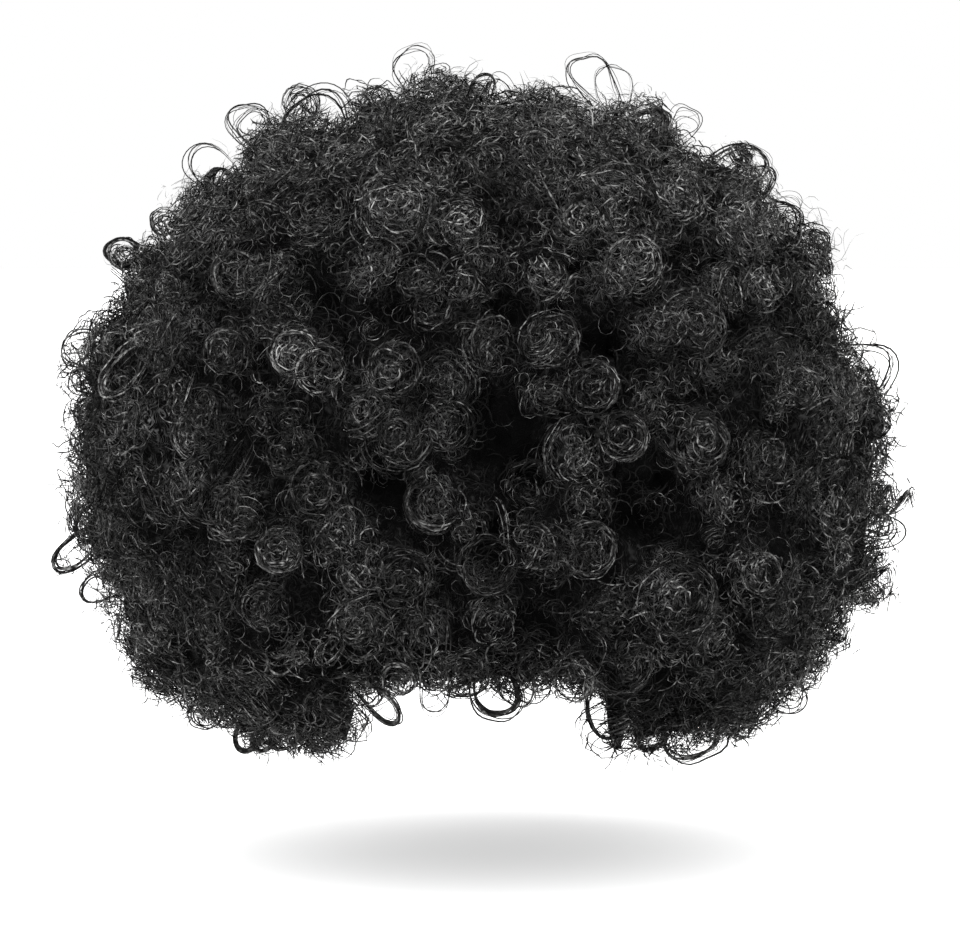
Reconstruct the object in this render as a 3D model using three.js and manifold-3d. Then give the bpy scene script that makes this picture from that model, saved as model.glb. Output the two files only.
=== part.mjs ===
// An afro wig: a stretch cap bound with an edge band, and five sections of curled hair that stand on it.
// Millimetres, +Z up, the face opening towards -Y, the wearer's left at +X.
// The origin is on the cap's inside, where the crown of the head touches it.
import * as THREE from "three";
import { ConvexGeometry } from "three/addons/geometries/ConvexGeometry.js";
import { mergeVertices } from "three/addons/utils/BufferGeometryUtils.js";
import Module from "manifold-3d";

const wasm = await Module();
wasm.setup();

// The head that the cap fits
const headWidth = 152;
const headLength = 192;
const crownHeight = 92; // from the crown down to the level where the head is widest

// The cap and its edge band
const capWall = 2;
const capDepth = 124; // from the crown down to the lower edge at the nape
const bandHeight = 9;
const bandWall = 2;
const seamGap = 0.3; // between neighbouring pieces

// The hair's outer form
const hairWidth = 374;
const hairFront = 168; // reach ahead of the crown
const hairBack = 184; // reach behind the crown
const hairAbove = 156; // height over the crown
const hairBelow = 151; // drop below the crown at the side locks
const napeBelow = 134; // drop below the crown at the nape
const napeFrom = 0.6; // share of a direction that points backwards, from which the hair is the nape's
const widestBelow = 18; // from the crown down to the hair's widest level
const roundTop = 2.1; // 2 is an ellipse, more is squarer
const roundBottom = 2.8;

// The face opening under the fringe
const faceWidth = 122;
const fringeDrop = 106; // from the crown down to the fringe's curls
const fringeCurls = 4;
const fringeCurlDrop = 9; // how far each curl rounds down from the gap beside it

// The locks that the hair's outer form is made of
const lockSpacing = 40;
const lockRise = 7;
const lockScatter = 0.16; // of the spacing
const riseScatter = 0.35; // of the rise
const lockSeed = 11;

// The parting between the crown's hair and the rest leans out this far from upright
const crownPartingDeg = 40;

// Lower edge of the cap's net by the angle from the face, as shares of the depth at the nape
const capEdge = [
  { fromFaceDeg: 0, depth: 0.34 },
  { fromFaceDeg: 35, depth: 0.4 },
  { fromFaceDeg: 66, depth: 0.84 },
  { fromFaceDeg: 82, depth: 0.85 },
  { fromFaceDeg: 104, depth: 0.7 },
  { fromFaceDeg: 140, depth: 0.9 },
  { fromFaceDeg: 180, depth: 1 },
];

// Locks on the outline seen from the front: clock angle from the wearer's left, and share of the usual rise
const outlineLocks = [
  { clockDeg: -46, rise: 1 },
  { clockDeg: -33, rise: 0.4 },
  { clockDeg: -17, rise: 1.3 },
  { clockDeg: -2, rise: 1.4 },
  { clockDeg: 13, rise: 0.5 },
  { clockDeg: 31, rise: 1.1 },
  { clockDeg: 48, rise: 1.4 },
  { clockDeg: 64, rise: 1.2 },
  { clockDeg: 80, rise: 0.8 },
  { clockDeg: 96, rise: 1.3 },
  { clockDeg: 110, rise: 0.1 },
  { clockDeg: 124, rise: 1.2 },
  { clockDeg: 138, rise: 1 },
  { clockDeg: 154, rise: 1.6 },
  { clockDeg: 168, rise: 1.6 },
  { clockDeg: 180, rise: 1 },
  { clockDeg: 193, rise: 1.4 },
  { clockDeg: 210, rise: 0.5 },
  { clockDeg: 230, rise: 1.5 },
];

// How finely the smooth surfaces are faceted
const capSegments = 36;
const capRings = 8;
const bareRings = 3; // below the band
const coneSegments = 24;
const shoulderPoints = 6; // round each lock
const shoulderShare = 0.3; // of the spacing
const domeFall = 1.5; // share of its rise that a lock has fallen by at half the spacing from its top
const curlSteps = 6;

const colour = { hair: 0x14130f, net: 0x101012, band: 0x0b0b0c };
const farAway = 2 * Math.max(hairWidth, hairAbove + hairBelow, hairFront + hairBack);
const wallOutside = Math.max(capWall, bandWall) + seamGap;
const { degToRad, lerp, smoothstep } = THREE.MathUtils;

// A manifold solid from a closed geometry whose shared vertices are merged.
function solidFrom(geometry) {
  const bare = geometry.clone();
  bare.deleteAttribute("normal");
  bare.deleteAttribute("uv");
  const merged = mergeVertices(bare, 1e-4);
  const mesh = new wasm.Mesh({
    numProp: 3,
    vertProperties: merged.attributes.position.array,
    triVerts: new Uint32Array(merged.index.array),
  });
  return new wasm.Manifold(mesh);
}

// A geometry from a manifold solid.
function geometryFrom(solid) {
  const mesh = solid.getMesh();
  const geometry = new THREE.BufferGeometry();
  geometry.setAttribute("position", new THREE.BufferAttribute(mesh.vertProperties, 3));
  geometry.setIndex(new THREE.BufferAttribute(mesh.triVerts, 1));
  geometry.computeVertexNormals();
  return geometry;
}

// Depth of the cap net's lower edge at an angle from the face, eased between the rows of capEdge.
function edgeDepth(fromFaceDeg) {
  const next = Math.max(1, capEdge.findIndex((row) => row.fromFaceDeg >= fromFaceDeg));
  const [low, high] = [capEdge[next - 1], capEdge[next]];
  const along = (fromFaceDeg - low.fromFaceDeg) / (high.fromFaceDeg - low.fromFaceDeg);
  return capDepth * lerp(low.depth, high.depth, (1 - Math.cos(Math.PI * along)) / 2);
}

// A point on the head's form, a half ellipsoid over upright walls, moved outwards by offset.
function headPoint(azimuth, depth, offset) {
  const above = Math.max(0, 1 - depth / crownHeight);
  const round = Math.sqrt(1 - above * above);
  const point = new THREE.Vector3(
    (headWidth / 2) * round * Math.cos(azimuth),
    (headLength / 2) * round * Math.sin(azimuth),
    -depth,
  );
  const outward = new THREE.Vector3(
    point.x / (headWidth / 2) ** 2,
    point.y / (headLength / 2) ** 2,
    above / crownHeight,
  ).normalize();
  return point.addScaledVector(outward, offset);
}

// A lathe whose rings are counted from the axis, each vertex then carried to place(ring, level, azimuth).
function ringLathe(profile, place) {
  const points = profile.map(([ring, level]) => new THREE.Vector2(ring, level));
  const geometry = new THREE.LatheGeometry(points, capSegments);
  const position = geometry.attributes.position;
  for (let i = 0; i < position.count; i++) {
    const ring = Math.round(Math.hypot(position.getX(i), position.getZ(i)));
    const azimuth = Math.atan2(position.getX(i), position.getZ(i));
    const at = place(ring, position.getY(i), azimuth);
    position.setXYZ(i, at.x, at.y, at.z);
  }
  geometry.computeVertexNormals();
  return geometry;
}

function degreesFromFace(azimuth) {
  const degrees = Math.abs(THREE.MathUtils.radToDeg(azimuth + Math.PI / 2)) % 360;
  return Math.min(degrees, 360 - degrees);
}

// Depths down the head at one azimuth: the net's rings, the band's two edges, then the bare head below.
function ringDepths(azimuth) {
  const edge = edgeDepth(degreesFromFace(azimuth));
  const net = Array.from({ length: capRings + 1 }, (_, i) => {
    const down = (i * Math.PI) / 2 / capRings;
    return edge * (1 - Math.cos(down));
  });
  const band = [edge + seamGap, edge + seamGap + bandHeight];
  const foot = Math.max(crownHeight, band[1]) + bandHeight;
  const bare = Array.from({ length: bareRings }, (_, i) => lerp(band[1], foot, (i + 1) / bareRings));
  return [...net, ...band, ...bare];
}
const netEdgeRing = capRings;
const bandTopRing = capRings + 1;
const bandFootRing = capRings + 2;
const lowestRing = capRings + 2 + bareRings;

// The cap's net: down inside from the crown to the edge, and back up outside.
function capGeometry() {
  const rings = Array.from({ length: netEdgeRing + 1 }, (_, ring) => ring);
  const profile = [...rings.map((ring) => [ring, 0]), ...rings.toReversed().map((ring) => [ring, 1])];
  return ringLathe(profile, (ring, level, azimuth) =>
    headPoint(azimuth, ringDepths(azimuth)[ring], level * capWall),
  );
}

// The edge band: a flat strip that carries on from the net's lower edge.
function bandGeometry() {
  const profile = [
    [bandTopRing, 0],
    [bandFootRing, 0],
    [bandFootRing, 1],
    [bandTopRing, 1],
    [bandTopRing, 0],
  ];
  return ringLathe(profile, (ring, level, azimuth) =>
    headPoint(azimuth, ringDepths(azimuth)[ring], level * bandWall),
  );
}

// The room that the head, the cap and the band take out of the hair, open below.
function hollowSolid() {
  const rings = Array.from({ length: lowestRing + 1 }, (_, ring) => ring);
  const profile = [[0, 1], [lowestRing, 1], ...rings.toReversed().map((ring) => [ring, 0])];
  const geometry = ringLathe(profile, (ring, level, azimuth) => {
    const at = headPoint(azimuth, ringDepths(azimuth)[ring], wallOutside);
    return level === 0 ? at : new THREE.Vector3(ring === 0 ? 0 : at.x, ring === 0 ? 0 : at.y, -farAway);
  });
  return solidFrom(geometry);
}

// The face opening below the fringe, whose upper edge is scalloped round the fringe's curls.
function faceOpeningSolid() {
  const half = faceWidth / 2;
  const step = faceWidth / fringeCurls;
  const curlRadius = (step * step) / 8 / fringeCurlDrop + fringeCurlDrop / 2;
  const outline = new THREE.Shape();
  outline.moveTo(half, -farAway);
  outline.lineTo(half, fringeCurlDrop - fringeDrop);
  for (let curl = 0; curl < fringeCurls; curl++) {
    const middle = half - (curl + 0.5) * step;
    const reach = Math.asin(step / 2 / curlRadius);
    const down = -Math.PI / 2;
    outline.absarc(middle, curlRadius - fringeDrop, curlRadius, down + reach, down - reach, true);
  }
  outline.lineTo(-half, -farAway);
  const geometry = new THREE.ExtrudeGeometry(outline, {
    depth: farAway,
    bevelEnabled: false,
    curveSegments: curlSteps,
  });
  geometry.rotateX(Math.PI / 2);
  return solidFrom(geometry);
}

// Reach of the smooth outer form from its middle, as a superellipsoid that is round from above.
const hairMiddle = new THREE.Vector3(0, (hairBack - hairFront) / 2, -widestBelow);
function smoothReach(direction) {
  const halfLength = (hairFront + hairBack) / 2;
  const level = Math.hypot(direction.x / (hairWidth / 2), direction.y / halfLength);
  const below = lerp(hairBelow, napeBelow, smoothstep(direction.y, 0, napeFrom));
  const upright = direction.z / (direction.z > 0 ? hairAbove + widestBelow : below - widestBelow);
  const power = direction.z > 0 ? roundTop : roundBottom;
  return (level ** power + Math.abs(upright) ** power) ** (-1 / power);
}

// Repeatable scatter between -1 and 1: the fraction left of a sine that is made very large.
const scatterRates = { index: 12.9898, salt: 78.233, size: 43758.5453 };
function scatter(index, salt) {
  const phase = (index + 1) * scatterRates.index + (salt + lockSeed) * scatterRates.salt;
  const raw = Math.sin(phase) * scatterRates.size;
  return 2 * (raw - Math.floor(raw)) - 1;
}

// A direction by its clock angle seen from the front and its lean towards the face.
function clockDirection(clock, lean) {
  return new THREE.Vector3(
    Math.cos(clock) * Math.cos(lean),
    -Math.sin(lean),
    Math.sin(clock) * Math.cos(lean),
  );
}

// Each lock's direction and rise: the outline's row as listed, and scattered rows in front and behind.
function lockList() {
  const locks = outlineLocks.map(({ clockDeg, rise }) => ({
    direction: clockDirection(degToRad(clockDeg), 0),
    rise: rise * lockRise,
  }));
  const usualReach = (hairWidth + hairFront + hairBack) / 4;
  const stepAngle = lockSpacing / usualReach;
  const rows = Math.round(Math.PI / 2 / (stepAngle * Math.cos(Math.PI / 6)));
  for (let row = -rows; row <= rows; row++) {
    if (row === 0) continue;
    const lean = (row * Math.PI) / 2 / rows;
    const count = Math.max(1, Math.round((2 * Math.PI * Math.cos(lean)) / stepAngle));
    for (let i = 0; i < count; i++) {
      const index = locks.length;
      const clock = ((i + (row % 2) / 2 + lockScatter * scatter(index, 1)) * 2 * Math.PI) / count;
      const leaning = lean + lockScatter * stepAngle * scatter(index, 2) * Math.cos(lean);
      locks.push({
        direction: clockDirection(clock, leaning),
        rise: lockRise * (1 + riseScatter * scatter(index, 3)),
      });
    }
  }
  return locks;
}

// Corner of the gap between three neighbouring locks, as a direction.
function cornerOf([a, b, c]) {
  const normal = b.clone().sub(a).cross(c.clone().sub(a)).normalize();
  return normal.dot(a) < 0 ? normal.negate() : normal;
}

// Points of a geometry's triangles, three by three.
function trianglesOf(geometry) {
  const position = geometry.attributes.position;
  const points = Array.from({ length: position.count }, (_, i) =>
    new THREE.Vector3().fromBufferAttribute(position, i),
  );
  return Array.from({ length: points.length / 3 }, (_, i) => points.slice(3 * i, 3 * i + 3));
}

// A ring of shoulder directions round one lock.
function shoulderOf({ direction }) {
  const side = new THREE.Vector3(0, 1, 0).cross(direction).normalize();
  if (side.lengthSq() < 0.5) side.set(1, 0, 0);
  const spread = (shoulderShare * lockSpacing) / smoothReach(direction);
  return Array.from({ length: shoulderPoints }, (_, i) =>
    direction
      .clone()
      .applyAxisAngle(side, spread)
      .applyAxisAngle(direction, (i * 2 * Math.PI) / shoulderPoints),
  );
}

// The whole hair before it is hollowed: every lock is a dome fused to its neighbours in the valleys.
function hairSolid() {
  const locks = lockList();
  const valleys = trianglesOf(new ConvexGeometry(locks.map((lock) => lock.direction))).map(cornerOf);
  const directions = [
    ...locks.map((lock) => lock.direction),
    ...locks.flatMap(shoulderOf),
    ...valleys,
  ];
  const geometry = new ConvexGeometry(directions);
  const position = geometry.attributes.position;
  for (let i = 0; i < position.count; i++) {
    const direction = new THREE.Vector3().fromBufferAttribute(position, i).normalize();
    const reach = smoothReach(direction);
    const nearest = locks.reduce((best, lock) =>
      lock.direction.dot(direction) > best.direction.dot(direction) ? lock : best,
    );
    const away = (reach * nearest.direction.angleTo(direction)) / (lockSpacing / 2);
    const dome = Math.max(-lockRise, nearest.rise * (1 - domeFall * away * away));
    direction.multiplyScalar(reach + dome).add(hairMiddle);
    position.setXYZ(i, direction.x, direction.y, direction.z);
  }
  return solidFrom(geometry);
}

// An upright prism over a plan outline, taller than the hair.
function prismSolid(plan) {
  const outline = new THREE.Shape(plan.map(([x, y]) => new THREE.Vector2(x, y)));
  const geometry = new THREE.ExtrudeGeometry(outline, { depth: 2 * farAway, bevelEnabled: false });
  geometry.translate(0, 0, -farAway);
  return solidFrom(geometry);
}

// A thin upright wall along a line of the plan, as wide as the gap between two sections.
function partingWall([fromX, fromY], [toX, toY]) {
  const length = Math.hypot(toX - fromX, toY - fromY);
  const geometry = new THREE.BoxGeometry(length, seamGap, 2 * farAway);
  geometry.rotateZ(Math.atan2(toY - fromY, toX - fromX));
  geometry.translate((fromX + toX) / 2, (fromY + toY) / 2, 0);
  return solidFrom(geometry);
}

// A cone that opens upwards from the middle of the head, lifted by rise.
function crownCone(rise) {
  const radius = farAway * Math.tan(degToRad(crownPartingDeg));
  const geometry = new THREE.ConeGeometry(radius, farAway, coneSegments);
  geometry.rotateX(-Math.PI / 2);
  geometry.translate(0, 0, farAway / 2 - crownHeight + rise);
  return solidFrom(geometry);
}

// The hair's sections: the crown's inside the cone, the rest parted by the plan.
function hairSections() {
  const edge = faceWidth / 2;
  const middle = [0, 0];
  const [temple, front] = [[edge, -edge], [edge, -farAway]];
  const [otherTemple, otherFront] = [[-edge, -edge], [-edge, -farAway]];
  const [behind, otherBehind] = [[farAway, farAway], [-farAway, farAway]];
  const partings = [
    [front, temple],
    [temple, middle],
    [middle, behind],
    [otherFront, otherTemple],
    [otherTemple, middle],
    [middle, otherBehind],
  ].map(([from, to]) => partingWall(from, to));
  const lift = seamGap / 2 / Math.sin(degToRad(crownPartingDeg));
  const whole = hairSolid().subtract(hollowSolid()).subtract(faceOpeningSolid());
  const crown = whole.intersect(crownCone(lift));
  const around = partings.reduce((rest, wall) => rest.subtract(wall), whole.subtract(crownCone(-lift)));
  const plans = {
    fringe_hair: [middle, otherTemple, otherFront, front, temple],
    side_hair_left: [middle, temple, front, [farAway, -farAway], behind],
    side_hair_right: [middle, otherBehind, [-farAway, -farAway], otherFront, otherTemple],
    back_hair: [middle, behind, otherBehind],
  };
  const sections = { crown_hair: crown };
  for (const [name, plan] of Object.entries(plans)) sections[name] = around.intersect(prismSolid(plan));
  return sections;
}

function piece(name, geometry, color, roughness) {
  const material = new THREE.MeshStandardMaterial({ color, roughness, metalness: 0 });
  const mesh = new THREE.Mesh(geometry, material);
  mesh.name = name;
  return mesh;
}

const wig = new THREE.Group();
wig.add(piece("cap", capGeometry(), colour.net, 0.85));
wig.add(piece("edge_band", bandGeometry(), colour.band, 0.7));
for (const [name, solid] of Object.entries(hairSections())) {
  wig.add(piece(name, geometryFrom(solid), colour.hair, 0.5));
}

export default wig;
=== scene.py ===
"""Dresses an afro wig in under-hair, ringlets, frizz and flyaway curls, and gives its cap a net finish."""

import math
from collections import namedtuple

import bpy
import numpy as np
from bpy.props import FloatProperty, FloatVectorProperty, IntProperty, PointerProperty
from bpy.types import Operator, Panel, PropertyGroup
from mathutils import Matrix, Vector
from mathutils.bvhtree import BVHTree
from mathutils.kdtree import KDTree


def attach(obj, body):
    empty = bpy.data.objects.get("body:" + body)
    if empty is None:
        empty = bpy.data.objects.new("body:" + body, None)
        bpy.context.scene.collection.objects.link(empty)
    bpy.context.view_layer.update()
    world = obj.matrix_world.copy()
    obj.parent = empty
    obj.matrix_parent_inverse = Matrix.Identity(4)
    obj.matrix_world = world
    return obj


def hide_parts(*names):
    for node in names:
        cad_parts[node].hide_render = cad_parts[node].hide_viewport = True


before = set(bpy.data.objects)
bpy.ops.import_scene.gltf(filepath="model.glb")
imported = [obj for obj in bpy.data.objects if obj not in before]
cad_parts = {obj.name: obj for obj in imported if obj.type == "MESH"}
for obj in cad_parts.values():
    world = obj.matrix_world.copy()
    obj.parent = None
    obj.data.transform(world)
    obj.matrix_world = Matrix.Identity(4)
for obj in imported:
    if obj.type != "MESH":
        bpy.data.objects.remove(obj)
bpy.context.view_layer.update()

bl_info = {
    "name": "Afro wig",
    "version": (1, 0, 0),
    "blender": (4, 5, 0),
    "location": "3D View > Sidebar > Wig",
    "description": "Dresses the wig's sections in ringlets, frizz and flyaway curls",
    "category": "Add Mesh",
}

HAIR = ("crown_hair", "fringe_hair", "side_hair_left", "side_hair_right", "back_hair")
MM = 0.001
TURN = 2 * math.pi
TINY = 1e-12

# Seeds of the random draws
SEAT_SEED, RINGLET_SEED, FRIZZ_SEED, FLYAWAY_SEED = 21, 22, 34, 55
PATCH_SEED, LUMP_SEED, RING_SEED, FLOW_SEEDS = 8, 3, 5, (61, 62, 63)

# All tables give places and lengths in mm, as the front view shows them.

# Ringlets seen end-on: place, radius, and how clearly the rings show
Ringlet = namedtuple("Ringlet", "x z radius clear")
FRONT_RINGLETS = [Ringlet(*row) for row in (
    (-87, 31, 11.8, 1.0), (-74, 24, 12.7, 1.0), (-41, 24, 13.2, 0.6), (-131, -6, 12.7, 0.6),
    (-17, -1, 12.7, 0.7), (-21, -37, 14.1, 0.9), (52, 17, 13.2, 0.7), (67, -7, 11.8, 0.8),
    (1, 71, 13.2, 0.6), (101, 46, 16.5, 0.7), (72, 74, 14.1, 0.6), (105, -9, 14.1, 0.7),
    (150, 17, 10.3, 0.5), (-95, -60, 11.3, 0.8), (-36, -74, 14.1, 0.8), (4, -67, 13.2, 0.7),
    (51, -60, 13.2, 0.8), (133, -72, 10.3, 0.9), (95, -84, 18.8, 0.8), (-76, -32, 14.1, 0.5),
    (-102, -88, 12.2, 0.6), (-39, 102, 18.8, 0.5), (-114, 69, 12.2, 0.5), (22, -31, 11.5, 0.3),
)]

# Hollows between the locks, sunk deeper and darkened with painted shade: place and radius
Hollow = namedtuple("Hollow", "x z radius")
FRONT_HOLLOWS = [Hollow(*row) for row in (
    (8, 7, 18), (-43, -23, 13), (78, -28, 15), (6, -46, 12), (-67, -102, 10), (79, -126, 20), (22, -9, 13),
    (-70, 66, 8), (55, 46, 8), (25, -85, 10),
)]

# Painted light and shade on the front's locks, lighter where a lock is lit and painted shade in the valleys
# between locks: place, radius, and how light they are against the others
Shade = namedtuple("Shade", "x z radius level")
FRONT_SHADES = [Shade(*row) for row in (
    (45, 85, 34, 2.0), (-22, 84, 24, 1.6), (0, 70, 16, 1.5), (-24, 56, 24, 0.5), (-73, 30, 34, 2.6),
    (27, 30, 18, 2.4), (46, 8, 14, 1.6), (-24, 104, 16, 1.6), (-95, 84, 20, 1.5), (10, 2, 34, 0.35),
    (-38, -8, 36, 0.45), (5, -48, 36, 0.4), (58, -66, 32, 1.8), (-95, -102, 34, 2.6), (164, 46, 26, 1.7),
    (-165, 30, 26, 1.5), (-165, -68, 24, 1.5), (-72, -120, 24, 1.7), (-142, -6, 24, 1.8),
    (-142, -28, 26, 0.45), (-166, -4, 20, 0.6), (-118, -66, 22, 0.6), (115, -10, 26, 1.6),
    (140, -55, 32, 1.4), (134, 86, 50, 1.8), (185, -8, 26, 1.4), (80, -28, 28, 0.4), (92, 12, 18, 0.6),
    (46, 45, 18, 0.6), (18, 112, 32, 0.5), (68, -46, 14, 1.6), (40, -104, 20, 1.5), (140, -102, 24, 1.5),
    (-24, -120, 20, 1.4), (80, -125, 30, 0.5),
)]

# Dents in the outline: place, radius, and depth, below zero for a bulge
Dent = namedtuple("Dent", "x z radius depth")
OUTLINE_DENTS = [Dent(*row) for row in (
    (172, 40, 24, 9), (160, 64, 16, 9), (131, 105, 15, 7), (97, 127, 24, 13), (52, 144, 18, 10),
    (17, 148, 18, 16), (36, 154, 12, 5), (-41, 149, 13, 9), (-60, 141, 17, 18), (-119, 117, 20, 9),
    (-150, 86, 14, 8), (-168, 61, 20, 7), (-175, -77, 20, 13), (-165, -106, 20, 6), (-116, -138, 15, 12),
    (-84, -148, 14, 7), (-62, -138, 9, 12), (77, -145, 13, 9), (155, -115, 18, 7), (173, -86, 14, 9),
    (-83, 150, 14, -8), (-28, 162, 14, -5), (153, 93, 13, -6), (79, 147, 11, -5), (-193, 20, 14, -5),
    (-193, -54, 15, -6), (197, -35, 14, -7), (187, -73, 12, -6), (142, -137, 13, -5), (-147, -132, 13, -5),
    (66, -150, 11, -6),
)]

# Loops that stand out of the outline: place, radius, depth, fibres in the loop, turn of its long way in
# degrees from straight outwards, and width against length
Loop = namedtuple("Loop", "x z radius depth fibres turn squash", defaults=(0, 1))
OUTLINE_LOOPS = [Loop(*row) for row in (
    (-31, 167, 8.5, 0, 4), (50, 163, 9.4, 0, 5, 60, 0.8), (64, 157, 8.0, 0, 3), (-74, 139, 15.0, 0, 7),
    (-109, 140, 8.5, 0, 5), (-126, 121, 10.0, 0, 4), (-120, 112, 7.0, 0, 8), (-168, 80, 6.5, 0, 12),
    (-181, -47, 10.0, -20, 9), (96, 140, 7.0, 0, 4), (79, 139, 8.5, 0, 12, -30, 0.8),
    (122, 119, 11.5, 0, 7, -20, 0.9), (130, 113, 7.5, 0, 9), (143, 101, 7.0, 0, 4), (182, 25, 11.0, 0, 7),
    (-187, 34, 9.0, 0, 5), (188, -48, 6.0, 0, 5), (-191, -61, 11.0, 0, 9, 20, 0.6), (-180, -79, 8.0, 0, 6),
    (-47, -134, 9.5, -140, 11, 64, 0.55), (-22, -127, 8.5, -140, 4, 0, 0.8),
    (-6, -125, 8.0, -140, 6, -70, 0.6), (8, -129, 10.0, -140, 12, 20, 0.95), (18, -127, 7.0, -140, 5),
    (-130, -138, 7.0, -20, 5), (-110, -148, 7.0, -20, 12), (-103, -151, 5.0, -20, 12),
    (-93, -149, 6.0, -20, 12), (-76, -149, 6.0, -20, 10), (100, -147, 12.0, -20, 10),
    (80, -147, 7.0, -20, 9), (60, -141, 8.0, -60, 12), (145, -131, 8.0, -20, 5),
)]

# Coils that stand out of the outline, seen from the side: place, radius, depth, fibres and length
Coil = namedtuple("Coil", "x z radius depth fibres length turn", defaults=(0,))
OUTLINE_COILS = [Coil(*row) for row in (
    (191, -34, 4.5, 0, 14, 14), (180, -68, 6.0, 0, 14, 16),
)]

# Small ringlets on the outline, seen end-on: place, radius and depth
Rim = namedtuple("Rim", "x z radius depth")
OUTLINE_RINGLETS = [Rim(*row) for row in (
    (-167, 79, 7.5, 0), (-166, 78, 5.5, -5), (-84, 149, 9.0, 0), (-52, -127, 8.0, -145), (-148, 94, 7.0, 0),
    (-121, 111, 8.0, 0), (-92, 128, 9.0, 0), (-49, 150, 8.0, 0), (-24, 147, 10.0, 0), (124, 113, 8.0, 0),
    (156, 84, 8.5, 0), (-188, -46, 7.0, 0), (176, 10, 9.0, 0), (-120, -137, 7.0, -20),
    (-86, -140, 7.0, -20), (98, -138, 8.0, -20), (-62, -128, 8.0, -90), (26, -119, 10.0, -150),
    (-8, -117, 9.0, -155), (44, -121, 10.0, -145), (-38, -121, 8.0, -150), (-22, -119, 7.0, -150),
)]


class WigCurlSizes(PropertyGroup):
    """Sizes of the curls that a user would change."""

    fibre_width: FloatProperty(
        name="Fibre width", description="Width of one drawn strand, which stands for a few real fibres",
        default=0.6 * MM, unit="LENGTH", precision=5)
    ringlet_radius: FloatProperty(
        name="Ringlet radius", description="Usual radius of a ringlet", default=12.5 * MM, unit="LENGTH",
        precision=4)
    ringlet_count: IntProperty(
        # Ringlets on the whole wig, besides the listed ones
        name="Ringlets", description="Ringlets on the whole wig, besides the ones that are placed by hand",
        default=420)
    ringlet_fibres: IntProperty(
        name="Fibres in a ringlet", description="Strands drawn in each ringlet", default=22)
    frizz_radius: FloatProperty(
        name="Frizz radius", description="Usual radius of a loose fibre's curve", default=3.3 * MM,
        unit="LENGTH", precision=4)
    frizz_count: IntProperty(
        name="Frizz fibres", description="Loose fibres on the whole wig, besides the fine fuzz",
        default=42000)
    draw_in: FloatProperty(
        name="Under-hair depth",
        description="How far the dark under-hair lies below the curls' outer surface", default=11 * MM,
        unit="LENGTH", precision=4)


class WigColours(PropertyGroup):
    """Colours of the wig's finishes."""

    fibre_dark: FloatVectorProperty(
        name="Darkest fibre", description="Colour of the darkest fibres", default=(0.002, 0.002, 0.0019),
        subtype="COLOR")
    fibre_light: FloatVectorProperty(
        name="Lightest fibre", description="Colour of the lightest fibres", default=(0.282, 0.281, 0.276),
        subtype="COLOR")
    under_hair: FloatVectorProperty(
        name="Under-hair", description="Colour of the hair that lies deep between the curls",
        default=(0.0015, 0.0015, 0.0015), subtype="COLOR")
    net: FloatVectorProperty(
        name="Net", description="Colour of the cap's net", default=(0.02, 0.02, 0.021), subtype="COLOR")
    floor: FloatVectorProperty(
        name="Floor", description="Colour of the floor", default=(0.92, 0.92, 0.92), subtype="COLOR")


class WigStageSizes(PropertyGroup):
    """Where the camera stands and how the light falls."""

    view_width: FloatProperty(
        name="Width in view", description="Width that the picture takes in at the middle of the head",
        default=451 * MM, unit="LENGTH")
    view_centre: FloatProperty(
        name="Height of the view's centre",
        description="Height over the crown seat that the camera points at", default=-22 * MM, unit="LENGTH")
    distance: FloatProperty(
        name="Camera distance", description="From the camera to the middle of the head", default=2.0,
        unit="LENGTH")
    elevation: FloatProperty(
        name="Camera elevation", description="Angle from which the camera looks down",
        default=math.radians(4), subtype="ANGLE")
    floor_drop: FloatProperty(
        name="Floor drop", description="From the crown seat down to the floor under the wig",
        default=207 * MM, unit="LENGTH")
    floor_glow: FloatProperty(
        name="Floor glow", description="Strength of the floor's own even light", default=0.34)
    sky_strength: FloatProperty(
        name="Room light", description="Strength of the even light from all round", default=1.0)
    key_strength: FloatProperty(
        name="Key light", description="Strength of the soft light from above", default=3.0)


def unit(vectors):
    """Each vector over its own length."""
    return vectors / np.maximum(np.linalg.norm(vectors, axis=-1, keepdims=True), TINY)


def square_to(vectors, axis):
    """The part of each vector that is square to its axis."""
    return vectors - axis * (vectors * axis).sum(-1, keepdims=True)


def across(axis, rng):
    """A unit vector square to each axis, turned at random about it."""
    return unit(square_to(rng.normal(size=axis.shape), axis))


def along_ways(start, *parts):
    """The start plus each way, one a strand, times its amounts, one a point of the strand."""
    return sum((way[:, None] * amount[..., None] for way, amount in parts), start)


def smooth_step(values, low, high):
    """Rises smoothly from 0 at the low value to 1 at the high one."""
    share = np.clip((values - low) / (high - low), 0, 1)
    return share * share * (3 - 2 * share)


def node_triangles(name):
    """Corners of a CAD node's triangles, as an array of triangle, corner and coordinate."""
    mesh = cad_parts[name].data
    points = np.empty(len(mesh.vertices) * 3, np.float32)
    mesh.vertices.foreach_get("co", points)
    mesh.calc_loop_triangles()
    corners = np.empty(len(mesh.loop_triangles) * 3, np.int32)
    mesh.loop_triangles.foreach_get("vertices", corners)
    return points.reshape(-1, 3)[corners].reshape(-1, 3, 3).astype(float)


def cad_middle():
    """Middle of the box round the CAD's nodes."""
    corners = np.concatenate([node_triangles(name).reshape(-1, 3) for name in sorted(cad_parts)])
    return (corners.min(0) + corners.max(0)) / 2


# Middle of the hair, from which its locks point outwards
HAIR_MIDDLE = cad_middle()


def triangle_normals(triangles):
    """Each triangle's normal, with the triangle's doubled area as its length."""
    return np.cross(triangles[:, 1] - triangles[:, 0], triangles[:, 2] - triangles[:, 0])


def surface_tree(names):
    """A tree of the nodes' triangles that rays can be cast on."""
    triangles = np.concatenate([node_triangles(name) for name in names])
    points = triangles.reshape(-1, 3).tolist()
    faces = np.arange(len(points)).reshape(-1, 3).tolist()
    return BVHTree.FromPolygons(points, faces)


# Clear way in front of a triangle that faces the open air
AIR_START, AIR_REACH = 0.05 * MM, 25 * MM


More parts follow.
